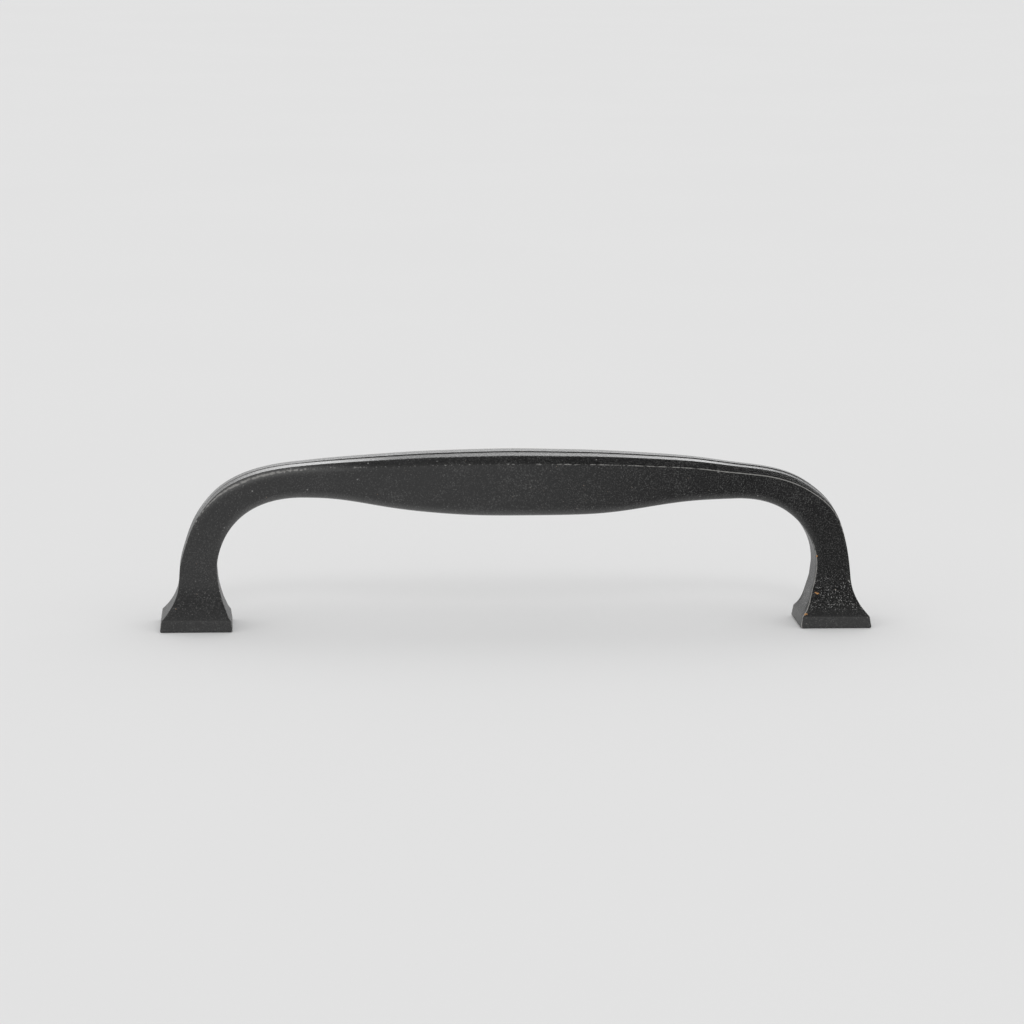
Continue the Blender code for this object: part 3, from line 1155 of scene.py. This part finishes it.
    def build(self, finish: CastIronFinish) -> bpy.types.Object:
        """Build the casting and set it on its body.

        Args:
            finish: Its finish.

        Returns:
            The finished object.
        """
        points, wear, painted_highlight = self.surface()
        values = {
            "wear": wear,
            # The painted highlight, a paler colour for light on the inner edge, the blocks and the left bend.
            "painted_highlight": painted_highlight,
            "rust": self.rust(points, wear),
            # Coarse grit, shown as painted glints.
            "grit_glint": self.grit_glint(points),
            "sheen": self.sheen(points),
        }
        obj = grid_object("cast_bow", points, values, finish.material())
        return self.dress(obj)

    def dress(self, obj: bpy.types.Object) -> bpy.types.Object:
        """Set the casting on its body and hide the CAD node that it stands for.

        Args:
            obj: The finished object.

        Returns:
            The same object.
        """
        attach(obj, "pull")
        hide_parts("pull_casting")
        return obj


@dataclass
class FixingScrew:
    """A threaded pan-head screw with a cross recess."""

    side: Side
    axis_x: float = 64.0 * MM
    seat_z: float = -19.1 * MM
    length: float = 25.0 * MM
    major_radius: float = 1.95 * MM
    minor_radius: float = 1.58 * MM
    pitch: float = 0.7 * MM
    run_out: float = 1.2 * MM
    end_chamfer: float = 0.5 * MM
    head_radius: float = 4.0 * MM
    head_height: float = 3.1 * MM
    head_rim: float = 0.9 * MM
    recess_span: float = 2.2 * MM
    recess_width: float = 0.55 * MM
    recess_depth: float = 1.8 * MM
    recess_soft: float = 0.16 * MM
    recess_root: float = 1.15
    recess_taper: float = 0.30
    recess_rise: float = 0.45
    recess_wear: float = 0.80
    recess_wear_width: float = 0.2 * MM
    neck_radius: float = 1.738 * MM
    head_round: float = 0.15 * MM
    side_start: float = 0.2 * MM
    dome_tip: float = 0.004
    thread_flat: float = 0.20
    thread_flank: float = 0.62
    crest_start: float = 0.70
    end_rings: Step = (0.01, 0.95)
    columns: int = 96
    shank_steps: int = 300
    edge_steps: int = 6
    side_steps: int = 5
    dome_steps: int = 72

    def shank(self, angle: np.ndarray) -> tuple[np.ndarray, np.ndarray]:
        """Threaded shank, from its end to the head.

        Formula: the radius is the minor radius plus the thread's depth times a clipped
        triangle wave of height over pitch less angle over a full turn, held under a cone
        at the end and faded out under the head.

        Args:
            angle: Angles of the columns.

        Returns:
            Points (row, column, xyz) and wear (row, column).
        """
        top = self.seat_z + self.length
        z = np.linspace(top, self.seat_z, self.shank_steps)[:, None]
        wave = 1 - np.abs(((z / self.pitch - angle / math.tau) % 1.0) * 2 - 1)
        ridge = np.clip((wave - self.thread_flat) / self.thread_flank, 0.0, 1.0)
        ridge = ridge * smooth_step((z - self.seat_z) / self.run_out)
        radius = self.minor_radius + (self.major_radius - self.minor_radius) * ridge
        cone = self.major_radius - self.end_chamfer + (top - z)
        radius = np.minimum(radius, cone)
        ends = np.linspace(*self.end_rings, self.edge_steps)[:, None] * (self.major_radius - self.end_chamfer)
        radius = np.concatenate([ends + 0 * angle, radius])
        z = np.concatenate([np.full_like(ends, top), z]) + 0 * angle
        crest = smooth_step((ridge - self.crest_start) / (1 - self.crest_start))
        wear = np.concatenate([0 * ends + 0 * angle, crest])
        return np.stack([radius * np.cos(angle), radius * np.sin(angle), z], axis=2), wear

    def head(self, angle: np.ndarray) -> tuple[np.ndarray, np.ndarray]:
        """Pan head with its cross recess, from the bearing face to the middle of the dome.

        Formula: the dome is half an ellipse. The recess is the larger of two crossed bars,
        each the smaller of the room left along and across it, and sinks the dome towards
        a floor that rises outwards.

        Args:
            angle: Angles of the columns.

        Returns:
            Points (row, column, xyz) and wear (row, column).
        """
        seat = np.linspace(self.neck_radius, self.head_radius - self.head_round, self.edge_steps)
        turn = np.linspace(0.0, math.pi / 2, self.edge_steps)
        rim = self.head_radius - self.head_round * (1 - np.sin(turn))
        rim_z = -self.head_round * (1 - np.cos(turn))
        side = np.full(self.side_steps, self.head_radius)
        side_z = np.linspace(-self.side_start, -self.head_rim, self.side_steps)
        dome = self.head_radius * np.sin(np.linspace(math.pi / 2, self.dome_tip, self.dome_steps))[1:]
        dome_rise = (self.head_height - self.head_rim) * np.sqrt(1 - (dome / self.head_radius) ** 2)
        radius = np.concatenate([seat, rim, side, dome])[:, None]
        z = np.concatenate([0 * seat, rim_z, side_z, -self.head_rim - dome_rise])[:, None] + 0 * angle
        x, y = radius * np.cos(angle), radius * np.sin(angle)
        along, across = np.maximum(np.abs(x), np.abs(y)), np.minimum(np.abs(x), np.abs(y))
        run = along / self.recess_span
        width = self.recess_width * (self.recess_root - self.recess_taper * run)
        room = np.minimum(self.recess_span - along, width - across)
        inside = smooth_step(room / self.recess_soft) * (z < -self.head_rim)
        floor = -self.head_height + self.recess_depth * (1 - self.recess_rise * run)
        wear = self.recess_wear * bell(room, self.recess_wear_width) * (z < -self.head_rim)
        z = z + inside * (np.maximum(floor, z) - z)
        return np.stack([x, y, z + self.seat_z], axis=2), wear

    def build(self, material: bpy.types.Material) -> bpy.types.Object:
        """Build the screw and set it on its body.

        Args:
            material: Its finish.

        Returns:
            The finished object.
        """
        angle = np.linspace(0.0, math.tau, self.columns, endpoint=False)
        shank, shank_wear = self.shank(angle)
        head, head_wear = self.head(angle)
        points = np.concatenate([shank, head]) + (self.side.value * self.axis_x, 0.0, 0.0)
        wear = np.concatenate([shank_wear, head_wear])
        return self.dress(grid_object(f"{self.side.label}_pan_screw", points, {"wear": wear}, material))

    def dress(self, obj: bpy.types.Object) -> bpy.types.Object:
        """Set the screw on its body and hide the CAD node that it stands for.

        Args:
            obj: The finished object.

        Returns:
            The same object.
        """
        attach(obj, f"{self.side.label}_screw")
        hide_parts(f"fixing_screw_{self.side.label}")
        return obj


@dataclass
class PlainWasher:
    """A stamped washer, with one rounded and one sharp edge."""

    side: Side
    axis_x: float = 64.0 * MM
    top_z: float = -18.0 * MM
    thickness: float = 0.8 * MM
    radius: float = 4.5 * MM
    bore_radius: float = 2.15 * MM
    rolled_round: float = 0.25 * MM
    sharp_round: float = 0.06 * MM
    columns: int = 96
    corner_steps: int = 6
    flat_steps: int = 4

    def profile(self) -> tuple[np.ndarray, np.ndarray]:
        """Closed profile of the ring.

        Formula: a rectangle whose corners are quadratic curves.

        Returns:
            Points (radius and height) and the wear of each.
        """
        low, high = self.top_z - self.thickness, self.top_z
        inner, outer = self.bore_radius, self.radius
        corners = np.array([(inner, high), (outer, high), (outer, low), (inner, low)])
        rounds = np.repeat([self.sharp_round, self.rolled_round], 2)[:, None]
        onward = np.roll(corners, -1, axis=0) - corners
        onward /= np.linalg.norm(onward, axis=1, keepdims=True)
        before = corners - np.roll(onward, 1, axis=0) * rounds
        after = corners + onward * rounds
        t = np.linspace(0.0, 1.0, self.corner_steps)
        curves = bezier(np.stack([before, corners, after]), t).transpose(1, 0, 2)
        gaps = np.linspace(after, np.roll(before, -1, axis=0), self.flat_steps + 2)[1:-1].transpose(1, 0, 2)
        points = np.concatenate([curves, gaps], axis=1).reshape(-1, 2)
        wear = np.concatenate([np.ones(curves.shape[:2]), np.zeros(gaps.shape[:2])], axis=1).ravel()
        return points, wear

    def build(self, material: bpy.types.Material) -> bpy.types.Object:
        """Turn the profile about the screw's axis and set the washer on its body.

        Args:
            material: Its finish.

        Returns:
            The finished object.
        """
        profile, edge = self.profile()
        angle = np.linspace(0.0, math.tau, self.columns, endpoint=False)
        radius, z = profile[:, :1], profile[:, 1:] + 0 * angle
        x = self.side.value * self.axis_x + radius * np.cos(angle)
        points = np.stack([x, radius * np.sin(angle), z], axis=2)
        wear = edge[:, None] + 0 * angle
        return self.dress(grid_object(f"{self.side.label}_ring", points, {"wear": wear}, material, ring=True))

    def dress(self, obj: bpy.types.Object) -> bpy.types.Object:
        """Set the washer on its body and hide the CAD node that it stands for.

        Args:
            obj: The finished object.

        Returns:
            The same object.
        """
        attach(obj, f"{self.side.label}_washer")
        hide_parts(f"washer_{self.side.label}")
        return obj


@dataclass
class Studio:
    """Pale floor, even light with two lamps, a tent that only reflections see, and the camera."""

    floor_size: float = 16.0
    even_light: float = 0.886
    wall_light: float = 0.51
    right_roof: float = 0.02
    left_roof: float = 0.45
    right_zenith: float = 0.12
    left_zenith: float = 0.62
    back_glow: float = 3.5
    glow_loss: float = 0.4
    shown: float = 0.76
    # Steps of a direction's X, Y or Z, where one part of the tent passes into the next.
    zenith_sides: Step = (0.04, -0.11)
    zenith_heights: Step = (0.88, 0.97)
    roof_sides: Step = (0.14, 0.02)
    wall_heights: Step = (0.60, 0.30)
    glow_depths: Step = (0.25, 0.55)
    glow_foot: Step = (0.30, 0.48)
    glow_head: Step = (0.86, 0.76)
    glow_sides: Step = (0.20, 0.50)
    glow_left: Step = (-0.05, -0.25)
    back_light: float = 0.14
    back_spread: float = math.radians(80.0)
    back_elevation: float = math.radians(40.0)
    front_light: float = 8.0
    front_spread: float = math.radians(12.0)
    front_elevation: float = math.radians(37.0)
    azimuth: float = math.radians(4.521)
    elevation: float = math.radians(10.717)
    roll: float = math.radians(0.594)
    distance: float = 719.91 * MM
    target: Triple = (-1.030 * MM, 0.0, 22.917 * MM)
    lens: float = 126.5625
    sensor: float = 36.0
    clip: Step = (0.01, 40.0)

    def floor(self, finish: FloorFinish) -> bpy.types.Object:
        """Lay the floor at the undersides of the feet.

        Formula: a square in the plane Z = 0.

        Args:
            finish: Its finish.

        Returns:
            The floor.
        """
        half = self.floor_size / 2
        corners = half * np.array([(-1, -1, 0), (1, -1, 0), (1, 1, 0), (-1, 1, 0)])
        mesh = bpy.data.meshes.new("floor")
        mesh.from_pydata(corners.tolist(), [], [(0, 1, 2, 3)])
        mesh.materials.append(finish.material())
        obj = bpy.data.objects.new("floor", mesh)
        bpy.context.scene.collection.objects.link(obj)
        return obj

    def world(self) -> bpy.types.World:
        """Light the scene evenly, and let reflections see a tent.

        Formula: the tent has pale walls, a roof that is dark on the right, a zenith of its own
        and a bright panel behind. Smooth steps of a direction's X, Y and Z lead from one to
        the next. Rays from the camera see one plain grey.

        Returns:
            The world.
        """
        world = bpy.data.worlds.new("light_tent")
        world.use_nodes = True
        tree = world.node_tree
        tree.nodes.clear()
        start = Shade(tree, tree.nodes.new("ShaderNodeTexCoord").outputs["Generated"])
        back = start.node("ShaderNodeSeparateXYZ", {}, "Y", i0=start)
        height = start.node("ShaderNodeSeparateXYZ", {}, "Z", i0=start)
        side = start.node("ShaderNodeSeparateXYZ", {}, "X", i0=start)
        zenith = self.right_zenith + (self.left_zenith - self.right_zenith) * side.ramp(*self.zenith_sides)
        roof = self.right_roof + (self.left_roof - self.right_roof) * side.ramp(*self.roof_sides)
        roof = roof + (zenith - roof) * height.ramp(*self.zenith_heights)
        walls = roof + (self.wall_light - roof) * height.ramp(*self.wall_heights)
        glow = back.ramp(*self.glow_depths) * height.ramp(*self.glow_foot) * height.ramp(*self.glow_head)
        glow = glow * (1.0 - self.glow_loss * side.maths("ABSOLUTE", side).ramp(*self.glow_sides))
        glow = glow * (1.0 - self.glow_loss * side.ramp(*self.glow_left))
        mirrored = walls + (self.back_glow - walls) * glow
        reflected = start.node("ShaderNodeLightPath", {}, "Is Glossy Ray")
        seen = start.node("ShaderNodeLightPath", {}, "Is Camera Ray")
        light = self.even_light + (mirrored - self.even_light) * reflected
        strength = light + (self.shown - light) * seen
        background = start.node("ShaderNodeBackground", {}, Color=(1.0, 1.0, 1.0, 1.0), Strength=strength)
        output = tree.nodes.new("ShaderNodeOutputWorld")
        tree.links.new(background.socket, output.inputs["Surface"])
        bpy.context.scene.world = world
        return world

    def panel(
        self,
        name: str,
        azimuth: float,
        elevation: float,
        radiance: float,
        spread: float,
    ) -> bpy.types.Object:
        """Hang one round softbox far away.

        Formula: its energy is its radiance times pi times the squared sine of half its spread.

        Args:
            name: The light's name.
            azimuth: Its direction round Z, from +Y towards +X.
            elevation: Its height above the floor, as an angle.
            radiance: How bright it looks from the object.
            spread: How wide it looks from the object, as an angle.

        Returns:
            The light.
        """
        light = bpy.data.lights.new(name, "SUN")
        light.angle = spread
        light.energy = radiance * math.pi * math.sin(spread / 2) ** 2
        obj = bpy.data.objects.new(name, light)
        bpy.context.scene.collection.objects.link(obj)
        flat = math.cos(elevation)
        away = Vector((flat * math.sin(azimuth), flat * math.cos(azimuth), math.sin(elevation)))
        obj.matrix_world = Matrix.Translation(away) @ away.to_track_quat("Z", "Y").to_matrix().to_4x4()
        return obj

    def camera(self) -> bpy.types.Object:
        """Set the camera at the angle and distance that fit the picture.

        Returns:
            The camera.
        """
        a, e = self.azimuth, self.elevation
        onward = np.array([math.sin(a) * math.cos(e), math.cos(a) * math.cos(e), -math.sin(e)])
        right = np.array([math.cos(a), -math.sin(a), 0.0])
        up = np.cross(right, onward)
        c, s = math.cos(self.roll), math.sin(self.roll)
        place = np.array(self.target) - self.distance * onward
        columns = np.column_stack([c * right + s * up, c * up - s * right, -onward, place])
        data = bpy.data.cameras.new("camera")
        data.sensor_width = self.sensor
        data.lens = self.lens
        data.clip_start, data.clip_end = self.clip
        obj = bpy.data.objects.new("camera", data)
        bpy.context.scene.collection.objects.link(obj)
        obj.matrix_world = Matrix([*columns.tolist(), (0.0, 0.0, 0.0, 1.0)])
        bpy.context.scene.camera = obj
        return obj

    def build(self) -> None:
        """Set up the floor, the light and the camera."""
        self.floor(FloorFinish())
        self.world()
        self.panel("back_panel", 0.0, self.back_elevation, self.back_light, self.back_spread)
        front = self.panel("front_panel", math.pi, self.front_elevation, self.front_light, self.front_spread)
        front.visible_glossy = False
        self.camera()
        bpy.context.scene.view_settings.view_transform = "Standard"


def main() -> None:
    """Build the sub-assemblies in order, then the studio round them."""
    logging.basicConfig(level=logging.INFO, format="%(name)s: %(message)s")
    casting = PullCasting().build(CastIronFinish())
    log.info("%s: %d faces", casting.name, len(casting.data.polygons))
    zinc = ZincFinish().material()
    for side in Side:
        for part in (PlainWasher(side), FixingScrew(side)):
            made = part.build(zinc)
            log.info("%s: %d faces", made.name, len(made.data.polygons))
    Studio().build()
    log.info("studio ready")


if __name__ == "__main__":
    main()
